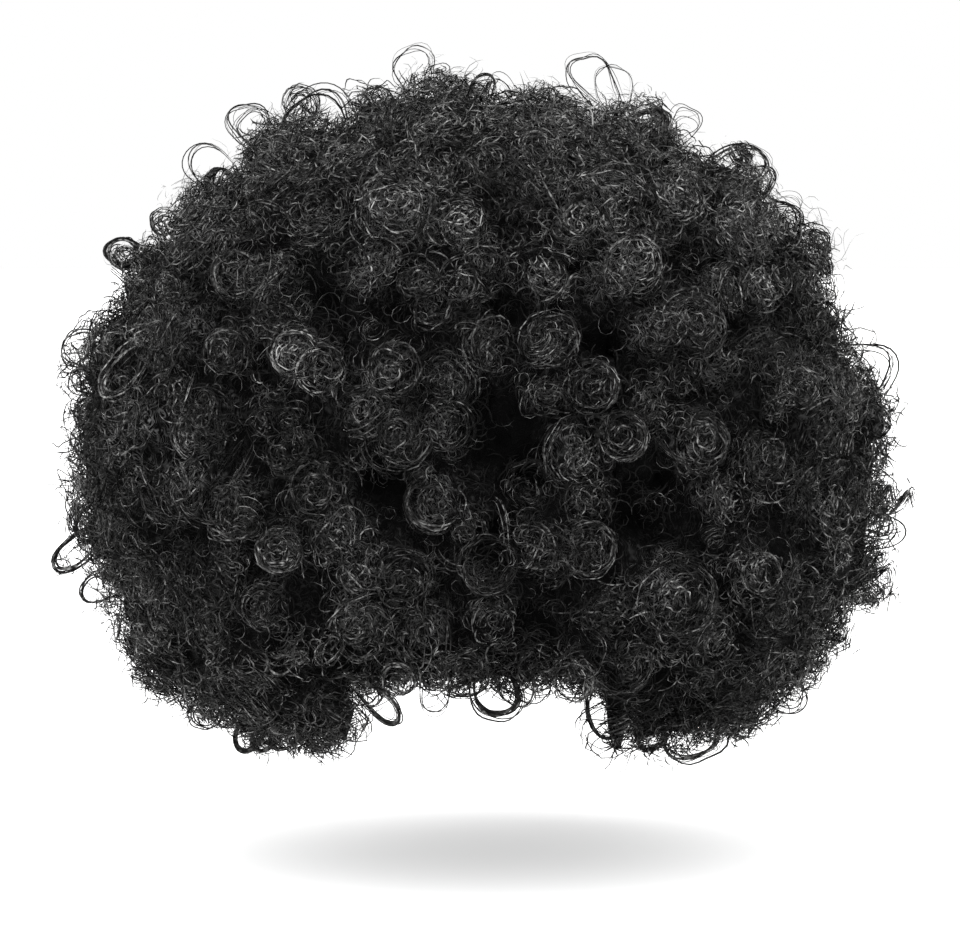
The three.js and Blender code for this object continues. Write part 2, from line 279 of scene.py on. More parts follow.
def open_hair():
    """Triangles of each section that face open air, and not the cap or a neighbouring section."""
    tree = surface_tree(sorted(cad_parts))
    sections = []
    for name in HAIR:
        triangles = node_triangles(name)
        normals = unit(triangle_normals(triangles))
        starts = triangles.mean(1) + normals * AIR_START
        hits = [
            tree.ray_cast(Vector(start), Vector(normal), AIR_REACH)[0]
            for start, normal in zip(starts, normals)
        ]
        sections.append(triangles[np.array([hit is None for hit in hits])])
    return sections


def scatter_on(triangles, count, rng):
    """Points spread evenly by area over triangles, with the normals there."""
    normals = triangle_normals(triangles)
    area = np.linalg.norm(normals, axis=1)
    pick = rng.choice(len(triangles), count, p=area / area.sum())
    first, second = rng.random((2, count, 1))
    flip = first + second > 1
    first, second = np.where(flip, 1 - first, first), np.where(flip, 1 - second, second)
    corner = triangles[pick]
    points = corner[:, 0] + first * (corner[:, 1] - corner[:, 0]) + second * (corner[:, 2] - corner[:, 0])
    return points, unit(normals[pick])


# Shares of the facet's normal and of the way from the hair's middle in the way that hair stands out
FACET_SHARE, MIDDLE_SHARE = 0.45, 0.55


def outward(points, normals):
    """The way that hair stands out: between the facet's normal and the way from the hair's middle, so that
    facets don't show."""
    return unit(normals * FACET_SHARE + unit(points - HAIR_MIDDLE) * MIDDLE_SHARE)


def cosine_out(points, ways):
    """Cosine between each way and the way from the hair's middle to its point."""
    return (ways * unit(points - HAIR_MIDDLE)).sum(1)


def mesh_object(name, points, faces, material, uv=None, tone=None):
    """An object from arrays: points, faces with equal corner counts, one UV place a corner, one tone a
    point."""
    mesh = bpy.data.meshes.new(name)
    count, sides = faces.shape
    mesh.vertices.add(len(points))
    mesh.vertices.foreach_set("co", np.ascontiguousarray(points, np.float32).ravel())
    mesh.loops.add(count * sides)
    mesh.loops.foreach_set("vertex_index", faces.astype(np.int32).ravel())
    mesh.polygons.add(count)
    mesh.polygons.foreach_set("loop_start", np.arange(0, count * sides, sides, dtype=np.int32))
    mesh.polygons.foreach_set("use_smooth", np.ones(count, bool))
    mesh.update(calc_edges=True)
    if uv is not None:
        mesh.uv_layers.new(name="OFBake").data.foreach_set("uv", uv.astype(np.float32).ravel())
    if tone is not None:
        values = mesh.attributes.new("tone", "FLOAT", "POINT")
        values.data.foreach_set("value", tone.astype(np.float32))
    mesh.materials.append(material)
    piece = bpy.data.objects.new(name, mesh)
    bpy.context.scene.collection.objects.link(piece)
    return piece


# A batch of strands: their points, the way that each strand faces there, its width, and roll and tone there
Strands = namedtuple("Strands", "paths facing width roll tone")

# Ribbons: how steeply they taper, the square of the tip's share of the width, and the shares of a strand's
# UV cell before the strand and under it
TAPER, TIP, CELL_EDGE, CELL_FULL = 6, 0.12, 0.1, 0.8


def ribbon_object(name, batches, material):
    """One object of flat ribbons. A ribbon follows its path. Its width lies square to the path and to the
    way that it faces, turned by the strand's roll, and tapers to both ends as the square root of the way to
    them. Each strand has a cell of its own in the UV map."""
    points, faces, uvs, tones = [], [], [], []
    cells = math.ceil(math.sqrt(sum(len(batch.paths) for batch in batches)))
    first_point, first_strand = 0, 0
    for batch in batches:
        strands, steps = batch.paths.shape[:2]
        along = unit(np.gradient(batch.paths, axis=1))
        side = unit(np.cross(along, batch.facing))
        up = np.cross(side, along)
        roll = batch.roll[..., None]
        side = side * np.cos(roll) + up * np.sin(roll)
        share = np.linspace(0, 1, steps)
        taper = np.sqrt(np.clip(np.minimum(share, 1 - share) * TAPER, TIP, 1))
        half = side * (batch.width[:, None] * taper / 2)[..., None]
        points.append(np.stack([batch.paths - half, batch.paths + half], 2).reshape(-1, 3))
        start = first_point + 2 * (np.arange(strands)[:, None] * steps + np.arange(steps - 1)).ravel()
        faces.append(np.stack([start, start + 1, start + 3, start + 2], 1))
        strand = first_strand + np.arange(strands)
        corner = np.stack([strand % cells, strand // cells], 1) / cells
        step_u = (CELL_EDGE + CELL_FULL * share) / cells
        step_v = np.full(steps, CELL_EDGE / cells)
        left = np.stack([corner[:, None, 0] + step_u, corner[:, None, 1] + step_v], 2)
        right = left + np.array([0, CELL_FULL / cells])
        quads = np.stack([left[:, :-1], right[:, :-1], right[:, 1:], left[:, 1:]], 2)
        uvs.append(quads.reshape(-1, 2))
        tones.append(np.repeat(batch.tone.ravel(), 2))
        first_point += strands * steps * 2
        first_strand += strands
    points, faces, uvs, tones = (np.concatenate(parts) for parts in (points, faces, uvs, tones))
    return mesh_object(name, points, faces, material, uvs, tones)


def smooth_noise(points, scale, seed, waves=5):
    """A smooth value, mostly between -1 and 1: the sum of a few sine waves in random directions, with
    lengths round the scale, over the square root of their number."""
    rng = np.random.default_rng(seed)
    direction = unit(rng.normal(size=(waves, 3))) * rng.uniform(0.6, 1.6, (waves, 1)) * TURN / scale
    phase = rng.uniform(0, TURN, waves)
    return np.sin(points @ direction.T + phase).sum(-1) / math.sqrt(waves)


# Painted glints, light stretches along a strand: least and greatest number, tone between them, and how
# narrow they are
GLINTS, GLINT_DARK, GLINT_POWER = (0.8, 3), 0.12, 4


def glints(strands, share, rng):
    """Painted glints: light and dark stretches painted along each strand, where it would turn towards the
    light and away from it.
    """
    waves = rng.uniform(*GLINTS, (strands, 1))
    phase = rng.uniform(0, TURN, (strands, 1))
    return GLINT_DARK + (1 - GLINT_DARK) * np.sin(waves * TURN * share + phase) ** GLINT_POWER


def front_gap(points, row):
    """How far each point lies from a row's place as the front view shows it, in mm."""
    return np.hypot(points[:, 0] / MM - row.x, points[:, 2] / MM - row.z)


def mark_at(points, row):
    """How much of a row's mark each point gets: 1 at the row's place, and 0 past its radius."""
    return np.clip(1 - (front_gap(points, row) / row.radius) ** 2, 0, 1) ** 2


# Depths, in front of the head's middle and behind it, between which the outline's dents fade out
DENT_FULLY, DENT_GONE = 50 * MM, 90 * MM


def dented(points):
    """How far each point is drawn in by the outline's dents."""
    near = np.clip((DENT_GONE - np.abs(points[:, 1])) / (DENT_GONE - DENT_FULLY), 0, 1)
    return near * sum(mark_at(points, dent) * dent.depth * MM for dent in OUTLINE_DENTS)


# How far forward a point has to lie to be in a hollow
HOLLOW_FROM = -50 * MM


def in_hollow(points):
    """Whether each point lies in a hollow, which is sunk deeper and given painted shade, as the front view
    shows it.
    """
    inside = np.zeros(len(points), bool)
    for hollow in FRONT_HOLLOWS:
        inside |= (front_gap(points, hollow) < hollow.radius) & (points[:, 1] < HOLLOW_FROM)
    return inside


# Light and dark patches over the wig: their size, how much they differ, and the tone of the darkest
PATCH_LENGTH, PATCH_SWING, PATCH_DARK = 48 * MM, 0.7, 0.3

# Where the top's even frizz, lighter with painted light from above, begins and is full, how much of the
# patches it takes away, its painted light against the middle's, the hem's height, and the painted shade
# that darkens the hem
TOP_FROM, TOP_FULLY, TOP_EVEN, TOP_PAINTED_LIGHT, HEM_FROM, HEM_PAINTED_SHADE = 40 * MM, 140 * MM, 0.7, 1.5, -150 * MM, 0.85

# Where painted rim light makes the hair lighter to the sides, and how much lighter it gets
SIDE_FROM, SIDE_FULLY, SIDE_PAINTED_LIGHT = 110 * MM, 185 * MM, 1.6


def top_share(points):
    """How much each point belongs to the hair's even top."""
    return smooth_step(points[:, 2], TOP_FROM, TOP_FULLY)


def patch_and_painted_light_tone(points):
    """How light the hair is at each point: a smooth noise makes patches, the top is even and lighter with
    painted light from above, painted shade darkens it towards the hem, painted rim light lightens it to the
    sides, and the front has painted light on lit locks and painted shade between them."""
    patch = np.clip(0.5 + PATCH_SWING * smooth_noise(points, PATCH_LENGTH, PATCH_SEED), 0, 1)
    high = top_share(points)
    patch = patch + (1 - patch) * TOP_EVEN * high
    low = np.clip((points[:, 2] - TOP_FROM) / (TOP_FROM - HEM_FROM), -1, 0)
    level = 1 + (TOP_PAINTED_LIGHT - 1) * high + (1 - HEM_PAINTED_SHADE) * low
    side = np.clip((np.abs(points[:, 0]) - SIDE_FROM) / (SIDE_FULLY - SIDE_FROM), 0, 1)
    level = level * (1 + (SIDE_PAINTED_LIGHT - 1) * side)
    return (PATCH_DARK + (1 - PATCH_DARK) * patch) * level * shade_level(points)


def shade_level(points):
    """How much the front's painted light on lit locks and painted shade between them lighten or darken each
    point, against the others.
    """
    level = np.ones(len(points))
    for shade in FRONT_SHADES:
        level *= 1 + (shade.level - 1) * mark_at(points, shade) * (points[:, 1] < 0)
    return level


# Ringlet form, with lengths as shares of its radius: how far the dome rises and one turn falls, how far
# strands stray from the centre at most, height of the kinks, and points of a strand
RINGLET_DOME, RINGLET_FALL, RINGLET_REACH, RINGLET_KINK, RINGLET_STEPS = 0.7, 0.3, 1.3, 0.04, 18

# Share of a clear ringlet's strands in the rim, their band and its spread, their turns, tilt and shift
RIM_SHARE, RIM_BAND, RIM_SPREAD, RIM_TURNS, RIM_TILT, RIM_SHIFT = 0.45, 0.9, 0.05, (0.45, 1.2), 0.18, 0.06

# The same of the strands inside the rim
INNER_BAND, INNER_TURNS, INNER_TILT, INNER_SHIFT = (0.25, 0.85), (0.25, 0.8), 0.5, 0.22

# Share of the strands that lie deep, how deep they and the others lie, and how fast painted shade darkens
# strands with depth
DEEP_SHARE, DEEP, SHALLOW, DEEP_SHADE = 0.3, (0.2, 1.0), (-0.05, 0.15), 1.6


def ringlet_strands(seats, fibres, fibre_width, rng):
    """Strands of ringlets. A strand is an arc about its ringlet's axis, kinked by a small wave and raised
    as a dome towards the axis. Up to half of the strands keep to the rim, the more the clearer the ringlet.
    The others lie at random inside it, shorter, shifted and tilted. Fibres of an unclear ringlet stray
    more."""
    centre, axis, radius, clear = seats
    # A ringlet's tone takes the patches and the painted light and shade; a clear one takes the front's
    # painted light and shade in full
    light = patch_and_painted_light_tone(centre)
    light = light + (shade_level(centre) - light) * clear
    order = np.repeat(np.arange(len(centre)), fibres)
    count = len(order)
    column = (count, 1)
    axis = axis[order]
    size, clear, light = (values[order][:, None] for values in (radius, clear, light))
    stray = 1.5 - clear
    first = across(axis, np.random.default_rng(RING_SEED))
    second = np.cross(axis, first)
    rim = rng.random(column) < RIM_SHARE * (0.3 + 0.9 * clear)
    band = np.where(rim, rng.normal(RIM_BAND, RIM_SPREAD * stray, column), rng.uniform(*INNER_BAND, column))
    sweep = TURN * np.where(rim, rng.uniform(*RIM_TURNS, column), rng.uniform(*INNER_TURNS, column))
    share = np.linspace(0, 1, RINGLET_STEPS)
    angle = rng.uniform(0, TURN, column) + rng.choice([-1, 1], column) * sweep * share
    kink = RINGLET_KINK * np.sin(rng.integers(4, 9, column) * angle + rng.uniform(0, TURN, column))
    reach = size * (band + kink * stray)
    tilt = np.where(rim, RIM_TILT, INNER_TILT) * stray
    shift = np.where(rim, RIM_SHIFT, INNER_SHIFT) * stray * size
    lies_deep = rng.random(column) < DEEP_SHARE
    deep = np.where(lies_deep, rng.uniform(*DEEP, column), rng.uniform(*SHALLOW, column))
    height = size * (RINGLET_DOME * (1 - band**2) - deep - RINGLET_FALL * (share - 0.5) * sweep / TURN)
    flat_first = reach * np.cos(angle)
    flat_second = reach * np.sin(angle)
    height = height + tilt * (rng.normal(size=column) * flat_first + rng.normal(size=column) * flat_second)
    flat_first = flat_first + shift * rng.normal(size=column)
    flat_second = flat_second + shift * rng.normal(size=column)
    offset = along_ways(0, (first, flat_first), (second, flat_second), (axis, height))
    stretch = np.linalg.norm(offset, axis=2, keepdims=True) / size[..., None]
    paths = centre[order][:, None] + offset * np.minimum(1, RINGLET_REACH / stretch)
    radial = along_ways(0, (first, np.cos(angle)), (second, np.sin(angle)))
    facing = unit(axis[:, None] * 0.8 + radial * 0.5)
    roll = rng.uniform(-0.9, 0.9, column) + rng.normal(0, 0.9, column) * share
    # Painted shade darkens the strands that lie deep
    tone = rng.beta(1.3, 2.2, column) * light * np.exp(-DEEP_SHADE * np.maximum(deep, 0))
    width = fibre_width * rng.uniform(0.75, 1.2, count)
    return Strands(paths, facing, width, roll, tone * glints(count, share, rng))


# A loose fibre's form: its usual radius, its greatest length, its least and greatest turn, and its points
Curve = namedtuple("Curve", "radius length sweep steps")
FRIZZ_LENGTH, FRIZZ_SWEEP, FRIZZ_STEPS = 14 * MM, (0.35, 0.8), 6
FUZZ_LENGTH, FUZZ_SWEEP, FUZZ_STEPS = 22 * MM, (0.6, 1.15), 8

# Neighbouring fibres bend the same way: length of their bundles, and how far a fibre strays from its bundle
FLOW_LENGTH, FLOW_STRAY = 24 * MM, 0.45

# Fibres that curve about the middle of their clump: their share, and their least and greatest radius
ROUND_SHARE, ROUND_LEAST, ROUND_MOST = 0.4, 2 * MM, 10 * MM

# How far a clump reaches, as a share of its ringlet's radius
CLUMP_REACH = 1.3


def clump_at(points, seats):
    """How far each point lies on a ringlet's clump, 1 over a ringlet's centre and 0 between ringlets, and
    the way from that ringlet's centre to the point."""
    centres, radii = seats[0], seats[2]
    near = KDTree(len(centres))
    for index, centre in enumerate(centres):
        near.insert(centre, index)
    near.balance()
    index = np.array([near.find(point)[1] for point in points])
    away = points - centres[index]
    gap = np.linalg.norm(away, axis=1)
    return np.clip(1 - (gap / (CLUMP_REACH * radii[index])) ** 2, 0, 1), away


def frizz_strands(points, out, away, rise, tone, curve, fibre_width, rng):
    """Loose fibres: each is an arc of part of a turn through its point, that lies mostly along the surface
    at its rise, with a twist out of its plane that grows with the angle. Some curve about the middle of
    their clump, and the others bend with their neighbours."""
    count = len(points)
    column = (count, 1)
    flat_away = square_to(away, out)
    gap = np.linalg.norm(flat_away, axis=1, keepdims=True)
    round_clump = (rng.random(column) < ROUND_SHARE) & (gap > 1 * MM)
    flow = np.stack([smooth_noise(points, FLOW_LENGTH, seed) for seed in FLOW_SEEDS], 1)
    flow = unit(square_to(flow + FLOW_STRAY * rng.normal(size=out.shape), out))
    first = np.where(round_clump, unit(flat_away + 0.2 * gap * rng.normal(size=out.shape)), flow)
    second = unit(np.cross(out, first) + out * rng.normal(0, 0.4, column))
    third = np.cross(first, second)
    radius = curve.radius * rng.uniform(0.5, 1.6, column)
    round_radius = np.clip(gap * rng.uniform(0.6, 1.1, column), ROUND_LEAST, ROUND_MOST)
    radius = np.where(round_clump, round_radius, radius)
    sweep = np.minimum(rng.uniform(*curve.sweep, column) * TURN, curve.length / radius)
    share = np.linspace(-0.5, 0.5, curve.steps)
    angle = sweep * share
    twist = rng.normal(0, 0.35, column)
    centre = points + out * rise[:, None] - first * radius * np.where(round_clump, 1, 0.7)
    ways = (first, radius * np.cos(angle)), (second, radius * np.sin(angle)), (third, radius * twist * angle)
    paths = along_ways(centre[:, None], *ways)
    facing = np.repeat(unit(out + 0.4 * rng.normal(size=out.shape))[:, None], curve.steps, 1)
    roll = rng.uniform(-0.8, 0.8, column) + rng.normal(0, 1.2, column) * share
    bright = rng.beta(1.5, 2.4, count) * tone
    width = fibre_width * rng.uniform(0.7, 1.15, count)
    return Strands(paths, facing, width, roll, bright[:, None] * glints(count, share, rng))


class Finish:
    """A node material, built step by step. Its textures read the object's own coordinates."""

    def __init__(self, name):
        self.material = bpy.data.materials.new(name)
        self.material.use_nodes = True
        self.nodes = self.material.node_tree.nodes
        self.shader = self.nodes["Principled BSDF"]

    def feed(self, node, inputs):
        """Links a node's inputs to outputs or sets them to values."""
        for label, value in inputs.items():
            if isinstance(value, bpy.types.NodeSocket):
                self.material.node_tree.links.new(value, node.inputs[label])
            else:
                node.inputs[label].default_value = value
        return node

    def node(self, kind, inputs):
        """A new node with its inputs."""
        return self.feed(self.nodes.new("ShaderNode" + kind), inputs)

    def texture(self, kind, inputs):
        """A new texture with its inputs."""
        place = self.nodes.new("ShaderNodeTexCoord")
        return self.node("Tex" + kind, {"Vector": place.outputs["Object"], **inputs})

    def noise(self, scale):
        """A noise of two octaves."""
        return self.texture("Noise", {"Scale": scale, "Detail": 2}).outputs["Fac"]

    def tone(self):
        """The mesh's tone."""
        tone = self.nodes.new("ShaderNodeAttribute")
        tone.attribute_name = "tone"
        return tone.outputs["Fac"]

    def maths(self, operation, first, second):
        """Two values through one maths node."""
        node = self.node("Math", {0: first, 1: second})
        node.operation = operation
        return node.outputs["Value"]

    def ranged(self, value, from_low, from_high, low, high):
        """A value carried over from one range to another."""
        limits = {"From Min": from_low, "From Max": from_high, "To Min": low, "To Max": high}
        return self.node("MapRange", {"Value": value, **limits}).outputs["Result"]

    def colour(self, level, start, end, end_level=1):
        """A colour that the level picks, from the start at 0 to the end at its level."""
        ramp = self.node("ValToRGB", {"Fac": level})
        first, last = ramp.color_ramp.elements
        first.color = (*start, 1)
        last.color = (*end, 1)
        last.position = end_level
        return ramp.outputs["Color"]

    def bump(self, height, strength, distance, invert=False):
        """A bump that follows a height."""
        node = self.node("Bump", {"Height": height, "Strength": strength, "Distance": distance})
        node.invert = invert
        return node.outputs["Normal"]


# Noises in the fibres' finish: a slow change over the wig and a fine sparkle of painted glints, with scale
# and least and greatest factor, and the part of a noise's range that is used
FIBRE_NOISES, NOISE_LOW, NOISE_HIGH = ((45, 0.7, 1.2), (500, 0.1, 1.9)), 0.38, 0.62

# Fibres' roughness and gloss, dark and light, the level from which the gloss is full, and the gloss of a
# model whose finish can't follow the level
ROUGHNESS, GLOSS, GLOSS_FULL, PLAIN_GLOSS = (0.55, 0.3), (0.05, 0.28), 0.6, 0.2


def fibre_material(name, colours):
    """Curled fibre: the strand's tone, which carries painted glints, light and shade, a slow change over the
    wig and a fine sparkle of painted glints pick a colour between dark and light. The lighter, the smoother
    and the shinier the fibre."""
    finish = Finish(name)
    level = finish.tone()
    for scale, low, high in FIBRE_NOISES:
        factor = finish.ranged(finish.noise(scale), NOISE_LOW, NOISE_HIGH, low, high)
        level = finish.maths("MULTIPLY", level, factor)
    finish.feed(finish.shader, {"Specular IOR Level": PLAIN_GLOSS})
    finish.feed(finish.shader, {
        "Base Color": finish.colour(level, colours.fibre_dark, colours.fibre_light),
        "Roughness": finish.ranged(level, 0, 1, *ROUGHNESS),
        "Specular IOR Level": finish.ranged(level, 0, GLOSS_FULL, *GLOSS),
    })
    return finish.material


# Under-hair's waves of fibres: kind, scale and how much they wind about, and the scale of its sparkle of
# painted glints
UNDER_WAVES, UNDER_SPARKLE = (("RINGS", 230, 30), ("BANDS", 300, 40)), 330

# Colour of the under-hair's lightest fibres against its darkest
UNDER_HAIR_LIGHT = 100


def under_hair_material(colour):
    """Deep hair: nearly black, with two sets of fine waves of lighter fibres that wind about and cross,
    broken up by a sparkle of painted glints, and a bump that follows them. The mesh's tone, which carries
    painted light and shade, says how light the fibres are."""
    finish = Finish("under_hair")
    waves = []
    for kind, scale, winding in UNDER_WAVES:
        form = {"Scale": scale, "Distortion": winding, "Detail": 1, "Detail Scale": 0.45}
        wave = finish.texture("Wave", form)
        wave.wave_type = kind
        waves.append(finish.ranged(wave.outputs["Fac"], 0.55, 1, 0, 1))
    fibres = finish.maths("MAXIMUM", *waves)
    sparkle = finish.ranged(finish.noise(UNDER_SPARKLE), 0.4, NOISE_HIGH, 0.1, 1)
    level = finish.maths("MULTIPLY", finish.maths("MULTIPLY", fibres, sparkle), finish.tone())
    finish.feed(finish.shader, {
        "Base Color": finish.colour(level, colour, [UNDER_HAIR_LIGHT * part for part in colour]),
        "Roughness": 0.8,
        "Specular IOR Level": 0.02,
        "Normal": finish.bump(fibres, 0.6, 1 * MM),
    })
    return finish.material


# Net: brightness of its threads and holes, and the share of a cell from the thread at which the hole is
# dark
THREAD_LIGHT, HOLE_LIGHT, HOLE_FROM = 1.8, 0.35, 0.22


def net_material(name, colour, cell):
    """Knitted net: nearly regular rounded cells, with light raised threads between them and dark holes."""
    finish = Finish(name)
    cells = finish.texture("Voronoi", {"Scale": 1 / cell, "Randomness": 0.25})
    cells.feature = "DISTANCE_TO_EDGE"
    distance = cells.outputs["Distance"]
    thread, hole = ([light * part for part in colour] for light in (THREAD_LIGHT, HOLE_LIGHT))
    finish.feed(finish.shader, {
        "Base Color": finish.colour(distance, thread, hole, HOLE_FROM),
        "Roughness": 0.85,
        "Normal": finish.bump(distance, 0.7, 0.4 * MM, invert=True),
    })
    return finish.material


def dress(piece, *nodes):
    """The piece rides on the wig and stands for the sections that it replaces."""
    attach(piece, "root")
    if nodes:
        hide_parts(*nodes)


def split_triangles(triangles):
    """Each triangle cut in four."""
    a, b, c = triangles[:, 0], triangles[:, 1], triangles[:, 2]
    ab, bc, ca = (a + b) / 2, (b + c) / 2, (c + a) / 2
    parts = [(a, ab, ca), (ab, b, bc), (ca, bc, c), (ab, bc, ca)]
    return np.concatenate([np.stack(part, 1) for part in parts])


# Under-hair: length and height of its lumps, depth of the hollows, and how far from the middle it is drawn
# in
LUMP_LENGTH, LUMP_HEIGHT, HOLLOW_DEPTH = 30 * MM, 2.5 * MM, 8 * MM
DRAWN_FROM, DRAWN_FULLY = 100 * MM, 150 * MM

# How much less deep the under-hair lies under a clump and at the hem
CLUMP_LIFT, HEM_LIFT = 6 * MM, 6 * MM

# Painted shade on the under-hair between clumps, in the hollows and on the downward-facing hem, as its
# tone there against the rest
BETWEEN_PAINTED_SHADE, UNDER_HOLLOW_PAINTED_SHADE, UNDER_HEM_PAINTED_SHADE = 0.1, 0.2, 0.4

# Least cosine to the way from the middle, from which a face belongs to the outside
TURNED_OUT = 0.5


class WIG_OT_under_hair(Operator):
    """The dark hair that lies deep between the curls, one piece a section"""

    bl_idname = "wig.under_hair"
    bl_label = "Under-hair"

    def execute(self, context):
        """Each section's triangles are cut in four and merged. A point is drawn towards the hair's middle
        by the depth, times a smooth step of its distance from the middle and the cosine of its normal to
        the way from the middle. It is drawn in less under a ringlet's clump and at the hem, and more in the
        hollows and dents that the front view shows, and a smooth noise lifts it."""
        scene = context.scene
        material = under_hair_material(scene.wig_colours.under_hair)
        seats = ringlet_seats(scene)
        for name in HAIR:
            corners = np.round(split_triangles(node_triangles(name)).reshape(-1, 3), 6)
            points, index = np.unique(corners, axis=0, return_inverse=True)
            faces = index.reshape(-1, 3)
            faces = faces[(faces != np.roll(faces, 1, axis=1)).all(1)]
            away = points - HAIR_MIDDLE
            face_normals = triangle_normals(points[faces])
            turned_out = (unit(face_normals) * unit(away[faces].mean(1))).sum(1) > TURNED_OUT
            normals = np.zeros(points.shape)
            np.add.at(normals, faces[turned_out], face_normals[turned_out, None])
            normals = unit(normals)
            step = smooth_step(np.linalg.norm(away, axis=1), DRAWN_FROM, DRAWN_FULLY)
            faces_out = np.clip(cosine_out(points, normals), 0, 1)
            sunk = in_hollow(points)
            clump = clump_at(points, seats)[0] * ~sunk
            hem = np.clip(-normals[:, 2], 0, 1)
            depth = scene.wig_curls.draw_in - smooth_noise(points, LUMP_LENGTH, LUMP_SEED) * LUMP_HEIGHT
            depth = depth - CLUMP_LIFT * clump - HEM_LIFT * hem + sunk * HOLLOW_DEPTH
            depth = depth + np.maximum(dented(points), 0)
            # Painted shade: the under-hair darkens between clumps, in the hollows and where it faces down at
            # the hem
            tone = (BETWEEN_PAINTED_SHADE + (1 - BETWEEN_PAINTED_SHADE) * clump) * patch_and_painted_light_tone(points)
            tone = tone * np.where(sunk, UNDER_HOLLOW_PAINTED_SHADE, 1) * (1 - (1 - UNDER_HEM_PAINTED_SHADE) * hem)
            points = points - unit(away) * (step * faces_out * depth)[:, None]
            piece = mesh_object(name.replace("_hair", "_under_hair"), points, faces, material, tone=tone)
            dress(piece, name)
        return {"FINISHED"}


def camera_place(stage):
    """The camera's place, and the point that it looks at."""
    target = Vector((0, 0, stage.view_centre))
    back = Vector((0, -math.cos(stage.elevation), math.sin(stage.elevation)))
    return target + back * stage.distance, target


def seen_from_front(x, z, stage, tree):
    """Where the line of sight through a point on the upright plane at the head's middle meets the hair."""
    eye, _ = camera_place(stage)
    through = Vector((x * MM, 0, z * MM))
    return tree.ray_cast(eye, (through - eye).normalized())[0]


def at_depth(row, stage):
    """The point at a row's depth on the line of sight through its place on the upright plane at the
    middle."""
    eye = np.array(camera_place(stage)[0])
    through = np.array([row.x, 0, row.z]) * MM
    return eye + (through - eye) * (eye[1] - row.depth * MM) / eye[1]


def section_of(points, trees):
    """Index of the section that lies nearest to each point."""
    gaps = [[tree.find_nearest(Vector(point))[3] for point in points] for tree in trees]
    return np.argmin(gaps, axis=0)


# How close ringlets stand, as a share of their radii together, how far the axes lean, of the loose ones, of
# those seen from the front and of the outline's, and how many places are tried for each
RINGLET_CLOSENESS, LOOSE_LEAN, FRONT_LEAN, RIM_LEAN, SEAT_TRIES = 0.72, 0.45, 0.15, 0.35, 30

# How far a ringlet sinks into the surface as a share of its radius, the placed rings' fibres as a share of
# their outer radius, and how clear the others are
RINGLET_SINK, PLACED_SHARE, LOOSE_CLEAR = 0.4, 0.95, (0.0, 0.45)

# How clear the rings of the outline's ringlets are, and of those below the fringe's height, in mm
RIM_CLEAR, FRINGE_RIM_CLEAR, FRINGE_HEIGHT = 0.7, 0.3, -110

# Loose ringlets' radii against the usual one: their spread, and the least and greatest
RADIUS_SPREAD, RADIUS_LIMITS = 0.2, (0.6, 1.5)


def ringlet_seats(scene):
    """Seats of all ringlets: first those listed in the tables, then others dropped on the open surface
    wherever they keep clear of the ones before them. Returns centres, axes, radii and clearness."""
    sizes, stage = scene.wig_curls, scene.wig_stage
    rng = np.random.default_rng(SEAT_SEED)
    hair_tree = surface_tree(HAIR)
    eye, _ = camera_place(stage)
    centres, axes, radii, clear = [], [], [], []
    for ringlet in FRONT_RINGLETS:
        point = seen_from_front(ringlet.x, ringlet.z, stage, hair_tree)
        axis = unit(np.array((eye - point).normalized()) + FRONT_LEAN * rng.normal(size=3))
        radii.append(ringlet.radius * MM * PLACED_SHARE)
        centres.append(np.array(point) - axis * RINGLET_SINK * radii[-1])
        axes.append(axis)
        clear.append(ringlet.clear)
    for rim in OUTLINE_RINGLETS:
        point = at_depth(rim, stage)
        centres.append(point)
        axes.append(unit(unit(np.array(eye) - point) + RIM_LEAN * rng.normal(size=3)))
        radii.append(rim.radius * MM)
        clear.append(RIM_CLEAR if rim.z > FRINGE_HEIGHT else FRINGE_RIM_CLEAR)
    wanted = sizes.ringlet_count + len(centres)
    points, normals = scatter_on(np.concatenate(open_hair()), SEAT_TRIES * sizes.ringlet_count, rng)
    out = outward(points, normals)
    facing_out = cosine_out(points, normals) > 0
    tries = sizes.ringlet_radius * np.clip(rng.normal(1, RADIUS_SPREAD, len(points)), *RADIUS_LIMITS)
    for point, direction, radius in zip(points[facing_out], out[facing_out], tries[facing_out]):
        if len(centres) >= wanted:
            break
        point = point - direction * (RINGLET_SINK * radius + dented(point[None])[0])
        gap = np.linalg.norm(np.array(centres) - point, axis=1)
        if (gap > RINGLET_CLOSENESS * (np.array(radii) + radius)).all() and not in_hollow(point[None])[0]:
            centres.append(point)
            axes.append(unit(direction + LOOSE_LEAN * rng.normal(size=3)))
            radii.append(radius)
            clear.append(rng.uniform(*LOOSE_CLEAR))
    return tuple(np.array(values) for values in (centres, axes, radii, clear))


class WIG_OT_ringlets(Operator):
    """Ringlets, one piece a section"""

    bl_idname = "wig.ringlets"
    bl_label = "Ringlets"

    def execute(self, context):
        """Each ringlet belongs to the section that lies nearest to its centre."""
        sizes = context.scene.wig_curls
        rng = np.random.default_rng(RINGLET_SEED)
        seats = ringlet_seats(context.scene)
        section = section_of(seats[0], [surface_tree([name]) for name in HAIR])
        material = fibre_material("ringlet_fibre", context.scene.wig_colours)
        for index, name in enumerate(HAIR):
            own_seats = [values[section == index] for values in seats]
            strands = ringlet_strands(own_seats, sizes.ringlet_fibres, sizes.fibre_width, rng)
            dress(ribbon_object(name.replace("_hair", "_ringlets"), [strands], material))
        return {"FINISHED"}


# Frizz over a ringlet stands up to the crest, and sinks to the trough between ringlets
FRIZZ_CREST, FRIZZ_TROUGH, FRIZZ_ON_WALLS, FRIZZ_SCATTER = 0.5 * MM, -9.5 * MM, 1.5 * MM, 1.2 * MM

